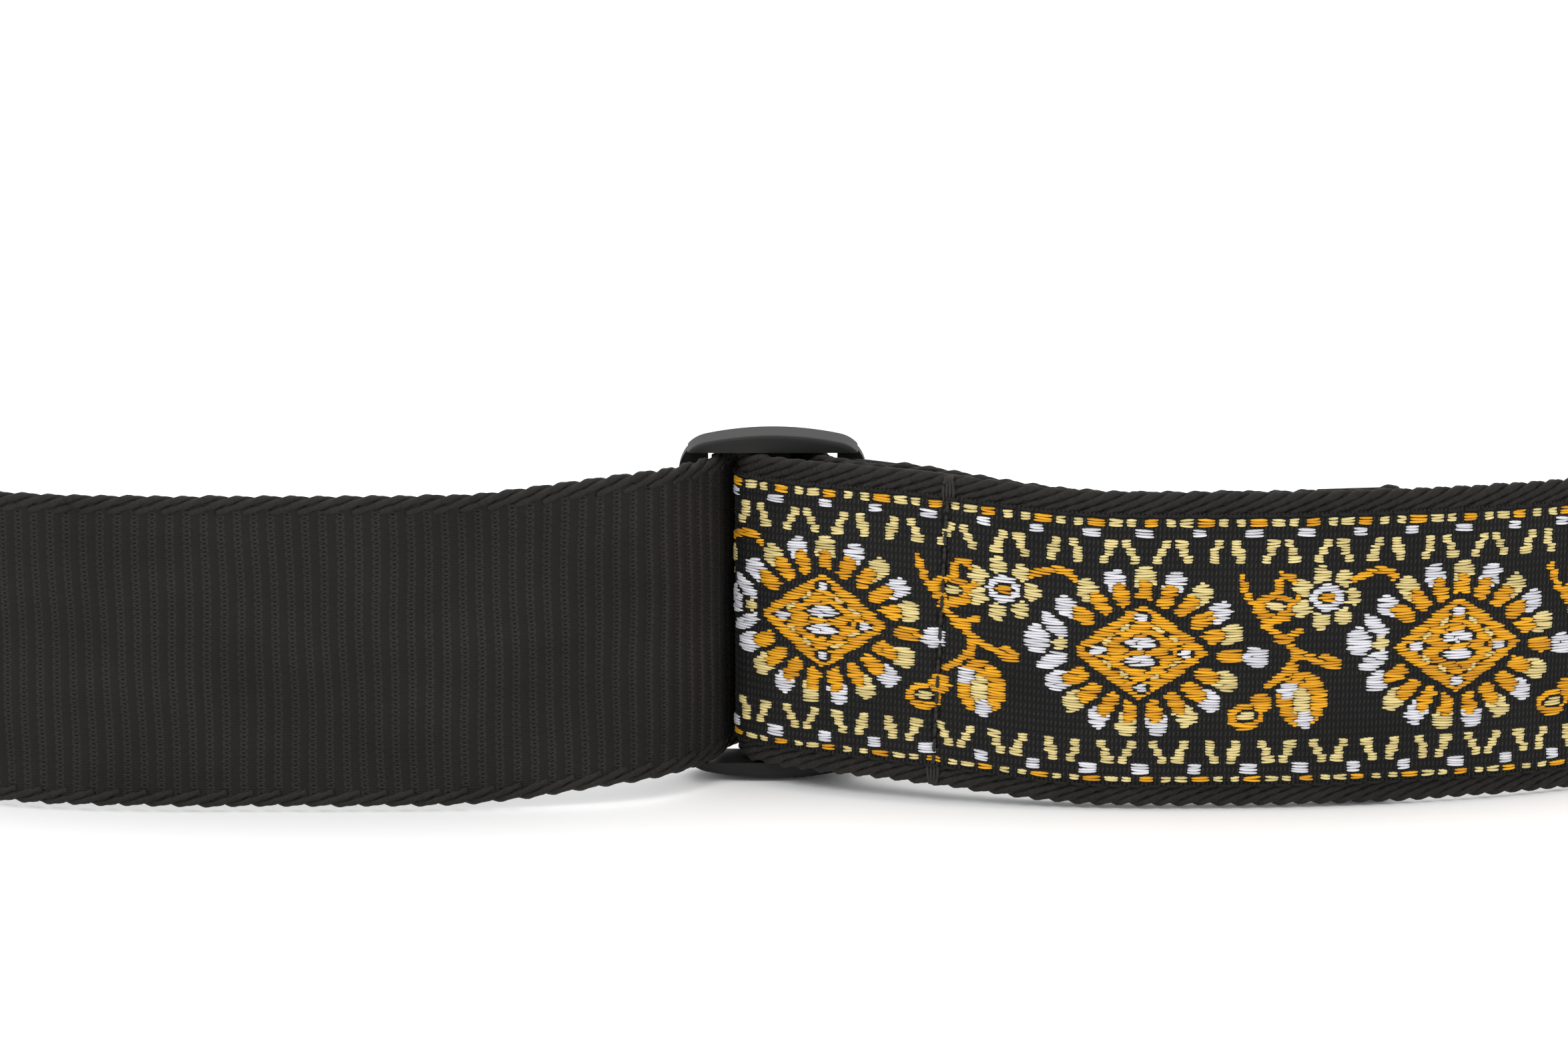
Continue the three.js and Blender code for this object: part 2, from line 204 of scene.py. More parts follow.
def tube_faces(count, stations, around):
    """Quads and end caps for many closed tubes laid out as count x stations x around points."""
    i, k, q = np.meshgrid(np.arange(count), np.arange(stations - 1), np.arange(around), indexing="ij")
    base = i * stations * around
    here = base + k * around
    there = here + around
    turn = (q + 1) % around
    quads = np.stack([here + q, here + turn, there + turn, there + q], axis=-1).reshape(-1, 4)
    first = (np.arange(count) * stations * around)[:, None] + np.arange(around)[::-1]
    last = (np.arange(count) * stations * around + (stations - 1) * around)[:, None] + np.arange(around)
    return quads.tolist() + first.tolist() + last.tolist()


def tubes(name, centres, radius, around, weave, twist, ends=None):
    """Round cords along centres (count x stations x 3, metres). twist raises strands that wind round them."""
    count, stations, _ = centres.shape
    along = np.gradient(centres, axis=1)
    along /= np.linalg.norm(along, axis=2)[..., None] + 1e-12
    up = np.broadcast_to(np.array([0.0, 0.0, 1.0]), along.shape)
    side = np.cross(along, up)
    weak = np.linalg.norm(side, axis=2) < 0.2
    side[weak] = np.cross(along[weak], np.array([1.0, 0.3, 0.0]))
    side /= np.linalg.norm(side, axis=2)[..., None]
    lift = np.cross(side, along)
    angle = np.linspace(0, 2 * np.pi, around, endpoint=False)
    size = np.full((count, stations, around), radius * MM)
    strands, pitch, depth = twist
    run = np.linalg.norm(np.diff(centres, axis=1), axis=2).cumsum(axis=1)
    run = np.concatenate([np.zeros((count, 1)), run], axis=1) / (pitch * MM)
    size = size * (1 + depth * np.cos(strands * angle[None, None] - 2 * np.pi * run[..., None]))
    if ends is not None:
        size = size * ends[None, :, None]
    around_side = side[:, :, None] * np.cos(angle)[None, None, :, None]
    around_lift = lift[:, :, None] * np.sin(angle)[None, None, :, None]
    points = centres[:, :, None] + (around_side + around_lift) * size[..., None]
    weave = np.broadcast_to(weave[:, :, None], points.shape)
    return make_object(name, points, tube_faces(count, stations, around), weave)


# ---- Ribbed webbing ----
def webbing(name, path, start, end, width):
    """A band with ribs across it. In each valley the warp threads of both ribs end as interlocked teeth."""
    row = 0.66
    back_rows = 60
    part = np.array([0.0, 0.16, 0.3, 0.5, 0.7, 0.84])
    valley = np.array([1.0, 0.62, 0.12, 0.0, 0.12, 0.62])
    first, last = math.floor(start / RIB_PITCH), math.ceil(end / RIB_PITCH)
    base = (np.arange(first, last)[:, None] + part[None]).ravel() * RIB_PITCH
    valley = np.tile(valley, last - first)
    inside = (base > start + 0.05) & (base < end - 0.05)
    base = np.concatenate([[start], base[inside], [end]])
    valley = np.concatenate([[0.5], valley[inside], [0.5]])[:, None]
    half = width / 2
    count = 2 * int(width / row) + 1
    front_v = np.linspace(-half, half, count)
    index = np.arange(count)
    groove = (index % 2).astype(float)
    lean = np.where(index % 4 == 0, 1.0, np.where(index % 4 == 2, -1.0, 0.0))
    back_v = np.linspace(half, -half, back_rows)
    v = np.concatenate([front_v, back_v])[None]
    back = np.zeros(back_rows)
    groove = np.concatenate([groove, back])[None]
    lean = np.concatenate([lean, back])[None]
    face = np.concatenate([np.ones(count), -np.ones(back_rows)])[None]
    rim = np.clip((half - np.abs(v)) / 0.9, 0, 1)
    thin = 0.35 + 0.65 * np.sqrt(1 - (1 - rim) ** 2)
    inner = np.clip((half - np.abs(v)) / 0.4, 0, 1)
    wave = 0.16 * np.sin(base[:, None] * 0.19 + v * 0.11) + 0.1 * np.sin(base[:, None] * 0.07 - v * 0.31)
    stray = dice.normal(0, 0.045, (len(base), v.shape[1])) * valley
    s = base[:, None] + (0.3 * lean * valley + stray + wave) * inner
    s = np.clip(s, start, end)
    s[0], s[-1] = start, end
    out = WEBBING / 2 * thin - valley * 0.3 * inner - groove * inner * (0.03 + 0.13 * valley)
    out = out + 0.05 * np.abs(lean) * valley * inner
    points = path.place(s, v, face * out)
    # The third coordinate chooses painted light in the material: a painted highlight on the teeth's crests in
    # each valley and painted shade in the grooves between rows.
    weave = np.stack(np.broadcast_arrays(s, v, valley * (0.45 + 0.55 * groove)), axis=-1)
    return make_object(name, points, tube_faces(1, len(base), v.shape[1]), weave)


def edge_cords(name, path, start, end, width, edge, pitch, reach, slope, radius=0.62, back=2.2):
    """Twisted cords that rise slantwise over the front face, turn over the edge and go down the back."""
    bend = 0.45
    total = reach + math.pi * bend + back
    q = np.linspace(0, total, 34)
    turn = np.clip((q - reach) / bend, 0, math.pi)
    height = width / 2 - bend - radius - reach + np.minimum(q, reach) + bend * np.sin(turn)
    height -= np.maximum(q - reach - math.pi * bend, 0)
    out = bend * np.cos(turn) + 0.1
    run = q / math.tan(math.radians(slope))
    starts = np.arange(start - run[-1], end, pitch)
    s = starts[:, None] + (run if edge > 0 else run[-1] - run)[None]
    inside = (s.min(axis=1) > start) & (s.max(axis=1) < end)
    s = s[inside]
    v = edge * np.broadcast_to(height[None], s.shape)
    jitter = dice.normal(0, 0.05, (len(s), 1))
    centres = path.place(s, v + jitter, np.broadcast_to(out[None], s.shape) + jitter * 0.5)
    weave = np.stack([s, v, np.zeros_like(s)], axis=-1)
    return tubes(name, centres, radius, 10, weave, twist=(3, 2.6, 0.17))


# ---- The ribbon's pattern: simple shapes in millimetres round each flower's centre ----
GOLD, CREAM, WHITE = 1, 2, 3


class Pattern:
    def __init__(self, s, v):
        self.s, self.v = s, v
        self.colour = np.zeros(s.shape, int)

    def across(self, u0, repeat=REPEAT):
        """Signed distance along the strap to the nearest of the places that repeat with the flowers."""
        return (self.s - u0 + repeat / 2) % repeat - repeat / 2

    def paint(self, mask, colour):
        self.colour[mask] = colour

    def oval(self, u0, v0, a, b, colour, turn=0.0, square=2.0):
        """An ellipse of half-lengths a and b, turned by degrees; a higher square makes its corners fuller."""
        du, dv = self.across(u0), self.v - v0
        c, k = math.cos(math.radians(turn)), math.sin(math.radians(turn))
        along, aside = np.abs(du * c + dv * k) / a, np.abs(dv * c - du * k) / b
        self.paint(along**square + aside**square < 1, colour)

    def stroke(self, points, width, colour):
        for (ua, va), (ub, vb) in zip(points, points[1:]):
            du, dv = self.across(ua), self.v - va
            eu, ev = ub - ua, vb - va
            t = np.clip((du * eu + dv * ev) / (eu * eu + ev * ev), 0, 1)
            self.paint(np.hypot(du - t * eu, dv - t * ev) < width / 2, colour)


def borders(p):
    """Both edges: a row of dashes, white dots and pairs of stepped legs."""
    for edge in (1, -1):
        row = edge * p.v
        dashes = np.abs(row - 20.75) < 0.5
        p.paint(dashes & (np.abs(p.across(1.2, BORDER_PITCH)) < 1.2), GOLD)
        for shift in (4.2, 6.7):
            p.paint(dashes & (np.abs(p.across(shift, BORDER_PITCH)) < 0.8), CREAM)
        p.paint((np.abs(row - 19) < 0.65) & (np.abs(p.across(0.3, BORDER_PITCH)) < 1.2), WHITE)
        step = np.clip(np.floor((18.1 - row) / 1.25), 0, 2)
        legs = np.abs(np.abs(p.across(4.7, BORDER_PITCH)) - 1.25 - 0.5 * step) < 0.75
        p.paint(legs & (row < 18.1) & (row > 14.35), CREAM)


def medallion(p):
    """A gold diamond with a dotted ring and white bars, inside a crown of two-coloured petals."""
    for k in range(17):
        a = math.radians(144 - 18.6 * k)
        c, t = math.cos(a), math.sin(a)
        lean = math.degrees(math.atan2(12 * t, 14.4 * c))
        reach = 1.25 if k == 8 else 1.0
        p.oval(14.4 * reach * c, 11.8 * t, 1.95, 1.6, CREAM if k % 2 else WHITE, lean, 2.8)
        p.oval(11.2 * reach * c, 9.5 * t, 2.1, 1.2, GOLD, lean, 2.6)
    u, v = np.abs(p.across(0)), np.abs(p.v)
    diamond = (u / 10.4) ** 1.12 + (v / 7.6) ** 1.12
    p.paint(diamond < 1.17, 0)
    p.paint(diamond < 1, GOLD)
    ring = np.abs(u / 10.4 + v / 7.6 - 0.74) < 0.055
    run = u / 10.4 - v / 7.6
    p.paint(ring & (np.abs(np.abs(run) - 0.26) < 0.12), CREAM)
    p.paint(ring & (np.abs(run) < 0.05), 0)
    p.paint(ring & (np.abs(np.abs(run) - 0.46) < 0.04), 0)
    p.paint((np.abs(u / 10.4 + v / 7.6 - 0.47) < 0.03) & (np.sin(6 * run * math.pi) > 0.75), 0)
    bars = ((0, 5.6, 0.95, 0.7), (0, -5.8, 0.9, 0.75), (-6.8, 0.2, 1.25, 0.65), (6.9, -0.3, 1.0, 0.65))
    for u0, v0, a, b in bars:
        p.oval(u0, v0, a + 0.5, b + 0.15, 0)
        p.oval(u0, v0, a, b, WHITE, square=3)
    for v0 in (1.4, -1.5):
        p.oval(0, v0, 3.0, 1.1, 0)
        p.oval(0, v0, 2.5, 0.9, WHITE)


def lotus(p):
    """Three pale petals opening away from the diamond's left point."""
    p.oval(-16.1, 1.2, 2.1, 2.3, WHITE)
    for v0, turn, a in ((3.8, -38, 2.5), (-2.0, 28, 2.8)):
        p.oval(-13.6, v0, a + 0.3, 1.75, 0, turn)
        p.oval(-13.6, v0, a, 1.2, WHITE, turn)
    p.oval(-12.5, 0.9, 1.3, 0.95, CREAM)


def branch(p):
    """The spray between two medallions: curled tip, bud, daisy, arc, stem, leaves and a lower bud."""
    p.stroke([(15.4, 11.8), (15.9, 10.2), (16.8, 8.2), (18.4, 6.8)], 1.2, GOLD)
    p.oval(20.8, 7.0, 3.5, 2.4, GOLD)
    p.oval(20.8, 7.3, 1.9, 1.0, 0)
    p.oval(20.8, 7.3, 1.5, 0.75, CREAM)
    p.stroke([(21.2, 9.4), (21.3, 10.8)], 1.7, GOLD)
    p.stroke([(21.6, 12.1), (23.2, 12.0), (24.3, 10.6), (24.3, 7.6)], 1.2, GOLD)
    p.stroke([(19.2, 4.4), (20.3, 3.4), (22.2, 2.0), (24.0, 0.0), (26.4, -1.2), (28.6, -1.8)], 1.25, GOLD)
    p.oval(22.2, 2.0, 1.7, 0.9, GOLD)
    p.stroke([(22.2, 2.0), (24.8, 3.2)], 1.15, GOLD)
    p.stroke([(24.0, 0.0), (23.6, -2.2), (21.9, -4.2), (19.8, -5.6)], 1.25, GOLD)
    p.stroke([(23.6, -2.2), (24.8, -5.0)], 1.25, GOLD)
    p.oval(29.6, -1.9, 2.1, 1.15, GOLD, -15)
    p.oval(25.4, -7.9, 3.9, 4.4, GOLD)
    p.oval(23.2, -6.4, 1.7, 1.4, WHITE)
    p.oval(25.3, -8.3, 1.5, 2.3, CREAM)
    p.oval(25.7, -11.2, 1.4, 1.5, WHITE)
    p.oval(19.0, -8.3, 1.8, 1.6, GOLD)
    p.oval(16.4, -10.6, 2.7, 2.2, GOLD)
    p.oval(16.7, -10.5, 1.9, 1.1, 0)
    p.oval(16.7, -10.5, 1.5, 0.75, CREAM)
    for k in range(7):
        a = math.radians(103 - 360 / 7 * k)
        p.oval(28.8 + 4.2 * math.cos(a), 8.5 + 3.8 * math.sin(a), 1.5, 1.3, CREAM, math.degrees(a), 2.8)
    p.oval(28.8, 8.5, 3.1, 2.6, 0)
    p.oval(28.8, 8.5, 2.6, 2.2, WHITE)
    p.oval(28.8, 8.5, 1.6, 1.0, 0)
    p.oval(28.8, 8.5, 1.25, 0.75, GOLD)
    p.stroke([(33.0, 11.4), (35.2, 12.2), (37.2, 12.9), (38.9, 12.3), (39.5, 11.5)], 1.2, GOLD)


flower_s = strap_path.near(8.5, -9.8)


def pattern_at(s, v):
    p = Pattern(s - flower_s, v)
    borders(p)
    lotus(p)
    medallion(p)
    branch(p)
    return p.colour


def seam_line(v):
    """Where along the strap the loop's cross seam runs, at a height across it."""
    return seam_s + SEAM_LEAN * v / STRAP_WIDTH


def pucker(s, v):
    """Height lost where the cross seam pulls the ribbon in, deepest at each needle hole."""
    holes = 0.5 + 0.5 * np.cos(2 * np.pi * v / SEAM_PITCH)
    return (0.48 + 0.28 * holes) * np.exp(-(((s - seam_line(v)) / 0.9) ** 2))


def float_runs():
    """Every coloured thread float as (start, end, row, colour)."""
    rows = np.arange(-RIBBON_WIDTH / 2 + 0.35, RIBBON_WIDTH / 2 - 0.2, FLOAT_PITCH)
    columns = np.arange(ribbon_start, strap_path.length - 2, WARP_PITCH)
    s, v = np.meshgrid(columns + WARP_PITCH / 2, rows)
    colours = pattern_at(s, v)
    found = []
    for j, row in enumerate(rows):
        line = colours[j]
        cuts = np.flatnonzero(np.diff(line)) + 1
        for a, b in zip(np.r_[0, cuts], np.r_[cuts, len(line)]):
            if line[a] == 0:
                continue
            count = max(1, round((b - a) * WARP_PITCH / 3.1 + dice.uniform(-0.3, 0.3)))
            ends = np.linspace(a, b, count + 1)
            ends[1:-1] += dice.uniform(-1, 1, count - 1)
            for first, last in zip(ends, ends[1:]):
                found.append((columns[0] + first * WARP_PITCH, columns[0] + last * WARP_PITCH, row, line[a]))
    return np.array(found)


def floats(name, runs):
    """Raised threads: each a slim closed spindle that dips into the ground at both ends."""
    count = len(runs)
    start = runs[:, 0] - 0.1 + dice.uniform(-0.09, 0.09, count)
    end = runs[:, 1] + 0.1 + dice.uniform(-0.09, 0.09, count)
    t = np.array([0.0, 0.1, 0.36, 0.64, 0.9, 1.0])
    wide = np.array([0.3, 0.8, 1.0, 1.0, 0.8, 0.3])
    tall = np.array([0.0, 0.62, 1.0, 1.0, 0.62, 0.0])
    s = start[:, None] + (end - start)[:, None] * t
    tilt = dice.normal(0.0, 0.09, count)
    swing = np.clip(tilt * (end - start), -0.2, 0.2)
    v = runs[:, 2][:, None] + swing[:, None] * (t - 0.5) + dice.normal(0, 0.03, count)[:, None]
    width = (0.265 + dice.uniform(-0.03, 0.03, count))[:, None] * wide
    base = WEBBING / 2 + SKIN_GAP + RIBBON - 0.36
    rise = 0.34 + 0.05 * np.minimum(end - start, 3.5) + dice.uniform(-0.03, 0.03, count)
    top = base + rise[:, None] * tall
    dip = pucker(s, v)
    low = np.full_like(top, base - 0.08) - dip
    top = top - dip * 1.1
    ring_v = np.stack([v - width, v - width * 0.55, v + width * 0.55, v + width], axis=-1)
    ring_out = np.stack([low, low + (top - low) * 0.92, low + (top - low) * 0.92, low], axis=-1)
    crown = np.stack([v, top + 0.0 * v], axis=-1)
    ring_v = np.insert(ring_v, 2, crown[..., 0], axis=-1)
    ring_out = np.insert(ring_out, 2, crown[..., 1] + 0.02, axis=-1)
    ring_s = np.broadcast_to(s[..., None], ring_v.shape)
    points = strap_path.place(ring_s, ring_v, ring_out)
    tone = np.broadcast_to(dice.uniform(0, 1, count)[:, None, None], ring_v.shape)
    weave = np.stack([ring_s, ring_v, tone], axis=-1)
    return make_object(name, points, tube_faces(count, len(t), 5), weave)


def ribbon_ground():
    """The ribbon's black ground: fine chain columns across it, with a folded-under rim."""
    pitch = WARP_PITCH
    start, end = ribbon_start, strap_path.length - 1
    base = np.arange(start, end, pitch / 2)
    ridge = np.where(np.arange(len(base)) % 2, 1.0, 0.0)
    half = RIBBON_WIDTH / 2
    front_v = np.linspace(-half, half, 76)
    v = np.concatenate([front_v, [half, 0, -half]])
    front = np.concatenate([np.ones(len(front_v)), np.zeros(3)])
    link = np.concatenate([np.where(np.arange(len(front_v)) % 2, 1.0, -1.0), np.zeros(3)])
    top = WEBBING / 2 + SKIN_GAP + RIBBON - 0.34
    rim = np.clip((half - np.abs(v)) / 0.5, 0, 1)
    height = top + 0.17 * ridge[:, None] + 0.035 * link[None] * (2 * ridge[:, None] - 1)
    height = height - 0.3 * (1 - rim[None]) ** 2
    bottom = WEBBING / 2 + 0.03
    s = base[:, None] + 0.05 * link[None]
    dip = pucker(s, v[None])
    out = np.where(front[None] > 0, height - dip, bottom - dip * 0.3)
    points = strap_path.place(s, v[None], out)
    # shade picks painted light in the material: a painted highlight on the chain ridges, darker between them
    shade = 0.5 * ridge[:, None] * (0.75 + 0.25 * link[None])
    weave = np.stack([s, np.broadcast_to(v[None], s.shape), np.broadcast_to(shade, s.shape)], axis=-1)
    return make_object("ribbon_ground", points, tube_faces(1, len(base), len(v)), weave)


# ---- Stitches ----
def stitches(name, path, s, v, out, radius=0.3):
    """A row of sewn stitches through places given along a path; each stitch is its own short thread."""
    centres = path.place(s, v, out)
    return thread_bits(name, centres, radius)


def thread_bits(name, centres, radius):
    stations = centres.shape[1]
    t = np.linspace(-1, 1, stations)
    ends = np.sqrt(np.clip(1 - t**6, 0.12, 1))
    weave = np.zeros((*centres.shape[:2], 3))
    return tubes(name, centres, radius, 8, weave, twist=(2, 1.1, 0.14), ends=ends)


def seam_along(name, path, start, end, v, out, pitch=2.9, radius=0.24):
    starts = np.arange(start, end - pitch, pitch)
    t = np.linspace(0.08, 0.92, 7)
    s = starts[:, None] + pitch * t[None]
    arch = 0.22 * np.sin(np.pi * (t - 0.08) / 0.84)
    return stitches(name, path, s, np.full_like(s, v), np.full_like(s, out) + arch[None], radius)


def seam_across(name, path, line, half, out, radius=0.3):
    """A seam across the band; line gives the seam's place along the path at each height."""
    starts = np.arange(-half, half - SEAM_PITCH * 0.5, SEAM_PITCH)
    t = np.linspace(0.06, 0.94, 8)
    v = starts[:, None] + SEAM_PITCH * t[None]
    arch = 0.24 * np.sin(np.pi * (t - 0.06) / 0.88)
    s = line(v) + dice.normal(0, 0.04, (len(starts), 1))
    return stitches(name, path, s, v, np.full_like(v, out) + arch[None], radius)


def seam_wraps(name, path, s0, edge, front):
    """The seam's last threads, wrapped side by side over the strap's edge."""
    top = STRAP_WIDTH / 2 - 0.3
    q = np.linspace(0, 1, 22)
    angle = np.clip((q - 0.4) / 0.2, 0, 1) * math.pi
    down = 3.4 * np.maximum(0.4 - q, 0) / 0.4
    v = top - 0.55 + 0.5 * np.sin(angle) - down - 3 * np.maximum(q - 0.6, 0) / 0.4
    out = 1.15 * np.cos(angle) + (front - 1.15) * np.clip((0.4 - q) / 0.3, 0, 1)
    offsets = np.arange(4)[:, None] * 0.42
    s = s0 + offsets + 0.12 * np.sin(9 * q)[None] * (np.arange(4)[:, None] - 1.5)
    centres = path.place(s, edge * v[None], out[None])
    return thread_bits(name, centres, 0.26)


# ---- Leather ----
def half_width(y):
    """Half the tab's width at y, measured from the tip's root."""
    narrow = TIP_END_WIDTH / 2
    wide = STRAP_WIDTH / 2
    t = np.clip(y / 52, 0, 1)
    side = wide + (narrow - wide) * (3 * t**2 - 2 * t**3)
    cap = np.clip(y - (TIP_LENGTH - narrow), 0, narrow * 0.9999)
    nose = np.sqrt(narrow**2 - cap**2)
    root = np.clip((y + PLY_LENGTH + 2.2) / 2.5, 0, 1)
    corner = 2.5 * (1 - np.sqrt(1 - (1 - root) ** 2))
    return np.where(y > TIP_LENGTH - narrow, nose, side) - corner


def leather_layer(name, side, outward, layer):
    """One of a tab's two leathers: over the webbing at its root, closing on the other at the tip."""
    root = -(PLY_LENGTH + 2.2)
    narrow = TIP_END_WIDTH / 2
    body = np.linspace(root, TIP_LENGTH - narrow, 86)
    edge_in = root + np.array([0.0, 0.15, 0.4, 0.8, 1.4, 2.0, 2.6])
    nose = TIP_LENGTH - narrow + narrow * np.sin(np.linspace(0.05, math.pi / 2, 26))
    y = np.unique(np.concatenate([edge_in, body[body > root + 3], nose]))
    half = half_width(y)
    t = np.sin(np.linspace(-math.pi / 2, math.pi / 2, 30))
    t = np.concatenate([t, t[::-1]])
    face = np.concatenate([np.ones(30), np.zeros(30)])
    to_edge = half[:, None] * (1 - np.abs(t[None]))
    from_end = np.minimum(y - root, TIP_LENGTH - y)[:, None]
    rim = np.clip(np.minimum(to_edge, from_end + 0.05) / 0.75, 0, 1)
    crown = 0.28 * (1 - np.sqrt(1 - (1 - rim) ** 2))
    close = np.clip((y + 7) / 9, 0, 1)
    close = (close * close * (3 - 2 * close))[:, None]
    low = (1 - close) * (layer + SKIN_GAP) + close * 0.02
    high = low + LEATHER + close * 0.08
    out = np.where(face[None] > 0, high - crown, low + crown)
    flat = np.sin(y[:, None] * 0.35 + t[None] * 2.2) * 0.05 * rim
    x = side * LEG_X + outward * (out + flat * face[None])
    points = np.stack([x, TIP_START + np.broadcast_to(y[:, None], x.shape),
                       STRAP_WIDTH / 2 + half[:, None] * t[None]], axis=-1) * MM
    weave = np.stack([np.broadcast_to(y[:, None], x.shape), half[:, None] * t[None],
                      np.broadcast_to(rim, x.shape)], axis=-1)
    faces = tube_faces(1, len(y), len(t))
    piece = make_object(name, points, faces, weave)
    fix_winding(piece)
    punch_button_hole(piece, side)
    return piece


def fix_winding(piece):
    work = bmesh.new()
    work.from_mesh(piece.data)
    bmesh.ops.recalc_face_normals(work, faces=work.faces)
    work.to_mesh(piece.data)
    work.free()


def punch_button_hole(piece, side):
    """Cuts the button hole and its slit through a leather layer."""
    work = bmesh.new()
    radius = BUTTON_HOLE / 2
    half = SLIT_WIDTH / 2
    meet = math.asin(half / radius)
    angles = np.linspace(math.pi / 2 * 3 + meet, math.pi / 2 * 3 - meet + 2 * math.pi, 40)
    rim = [(radius * math.cos(a), radius * math.sin(a)) for a in angles]
    end = -radius - SLIT_LENGTH
    rim += [(-half * math.cos(a), end - half * math.sin(a)) for a in np.linspace(0, math.pi, 9)]
    centre = TIP_START + TIP_LENGTH - BUTTON_HOLE_FROM_END
    x = (side * LEG_X - 8) * MM
    near = [work.verts.new((x, (centre + b) * MM, (STRAP_WIDTH / 2 + a) * MM)) for a, b in rim]
    bottom = work.faces.new(near)
    grown = bmesh.ops.extrude_face_region(work, geom=[bottom])
    moved = [g for g in grown["geom"] if isinstance(g, bmesh.types.BMVert)]
    bmesh.ops.translate(work, verts=moved, vec=(16 * MM, 0, 0))
    bmesh.ops.recalc_face_normals(work, faces=work.faces)
    mesh = bpy.data.meshes.new("button_hole_cutter")
    work.to_mesh(mesh)
    work.free()
    cutter = bpy.data.objects.new("button_hole_cutter", mesh)
    bpy.context.collection.objects.link(cutter)
    cut = piece.modifiers.new("button_hole", "BOOLEAN")
    cut.operation = "DIFFERENCE"
    cut.solver = "EXACT"
    cut.object = cutter
    bpy.context.view_layer.update()
    result = bpy.data.meshes.new_from_object(piece.evaluated_get(bpy.context.evaluated_depsgraph_get()))
    piece.modifiers.clear()
    piece.data = result
    bpy.data.objects.remove(cutter)
    bpy.data.meshes.remove(mesh)


def tab_stitching(name, side, outward, layer):
    """The sewn rectangle on one face of a tab."""
    inset = 4.2
    low, high = PLY_START + inset, PLY_START + PLY_LENGTH - inset
    half = STRAP_WIDTH / 2 - inset
    corners = [(low, -half), (high, -half), (high, half), (low, half), (low, -half)]
    pitch = 3.1
    t = np.linspace(0.1, 0.9, 7)
    bits = []
    for (ya, za), (yb, zb) in zip(corners, corners[1:]):
        length = math.hypot(yb - ya, zb - za)
        count = round(length / pitch)
        for k in range(count):
            f = (k + t) / count
            out = layer + SKIN_GAP + LEATHER - 0.02 + 0.22 * np.sin(np.pi * (t - 0.1) / 0.8)
            x = side * LEG_X + outward * out
            bits.append(np.stack([x, ya + (yb - ya) * f, STRAP_WIDTH / 2 + za + (zb - za) * f], axis=-1) * MM)
    return thread_bits(name, np.array(bits), 0.34)


# ---- Materials ----
def new_material(name, roughness, specular=0.5):
    material = bpy.data.materials.new(name)
    material.use_nodes = True
    shader = material.node_tree.nodes["Principled BSDF"]
    shader.inputs["Roughness"].default_value = roughness
    shader.inputs["Specular IOR Level"].default_value = specular
    return material, material.node_tree, shader


def link(tree, a, b):
    tree.links.new(a, b)


def weave_coordinates(tree):
    """The (along, across, extra) millimetres stored on every strap piece."""
    node = tree.nodes.new("ShaderNodeAttribute")
    node.attribute_name = "weave"
    return node.outputs["Vector"]


def scaled(tree, vector, scale):
    node = tree.nodes.new("ShaderNodeVectorMath")
    node.operation = "MULTIPLY"
    link(tree, vector, node.inputs[0])
    node.inputs[1].default_value = scale
    return node.outputs["Vector"]


def noise(tree, vector, scale, detail=3.0, roughness=0.6):
    node = tree.nodes.new("ShaderNodeTexNoise")
    node.inputs["Scale"].default_value = scale
    node.inputs["Detail"].default_value = detail
    node.inputs["Roughness"].default_value = roughness
    link(tree, vector, node.inputs["Vector"])
    return node.outputs["Fac"]


def math_node(tree, operation, a, b):
    node = tree.nodes.new("ShaderNodeMath")
    node.operation = operation
    for socket, value in zip(node.inputs, (a, b)):
        if isinstance(value, (int, float)):
            socket.default_value = value
        else:
            link(tree, value, socket)
    return node.outputs[0]


def ramp(tree, factor, stops):
    node = tree.nodes.new("ShaderNodeValToRGB")
    while len(node.color_ramp.elements) < len(stops):
        node.color_ramp.elements.new(0.5)
    for element, (place, colour) in zip(node.color_ramp.elements, stops):
        element.position = place
        element.color = (*colour, 1)
    link(tree, factor, node.inputs["Fac"])
    return node.outputs["Color"]


def bump(tree, shader, height, strength, distance):
    node = tree.nodes.new("ShaderNodeBump")
    node.inputs["Strength"].default_value = strength
    node.inputs["Distance"].default_value = distance * MM
    link(tree, height, node.inputs["Height"])
    link(tree, node.outputs["Normal"], shader.inputs["Normal"])


def webbing_material(name, flat, raised_highlight, thread_pitch):
    """Dull black yarn with painted light. The weave's third coordinate is 0 on plain floats, 0.5 a painted
    highlight on the turns that stand up, 1 painted shade in the gaps.
    """
    material, tree, shader = new_material(name, 0.66, 0.14)
    place = weave_coordinates(tree)
    split = tree.nodes.new("ShaderNodeSeparateXYZ")
    link(tree, place, split.inputs[0])
    strands = noise(tree, scaled(tree, place, (0.9, 5.5, 0)), 1.0, 4)
    patches = noise(tree, scaled(tree, place, (0.05, 0.08, 0)), 1.0, 2)
    turns = math_node(tree, "MULTIPLY", split.outputs[1], 2 * math.pi / thread_pitch)
    waves = math_node(tree, "SINE", turns, 0)
    height = math_node(tree, "ADD", math_node(tree, "MULTIPLY", waves, 0.35), strands)
    grey = math_node(tree, "MULTIPLY", math_node(tree, "ADD", strands, patches), 0.9)
    # painted light: the bright stop is a painted highlight on crests and ridges, the last stop is painted
    # shade in the grooves
    stops = [(0.0, flat), (0.2, flat), (0.48, raised_highlight), (0.75, flat), (0.95, GAP_SHADE)]
    relief_shading = ramp(tree, split.outputs[2], stops)
    tint = tree.nodes.new("ShaderNodeVectorMath")
    tint.operation = "SCALE"
    link(tree, relief_shading, tint.inputs[0])
    link(tree, grey, tint.inputs["Scale"])
    link(tree, tint.outputs["Vector"], shader.inputs["Base Color"])
    shader.inputs["Sheen Weight"].default_value = 0.02
    shader.inputs["Sheen Roughness"].default_value = 0.45
    bump(tree, shader, height, 0.6, 0.12)
    return material


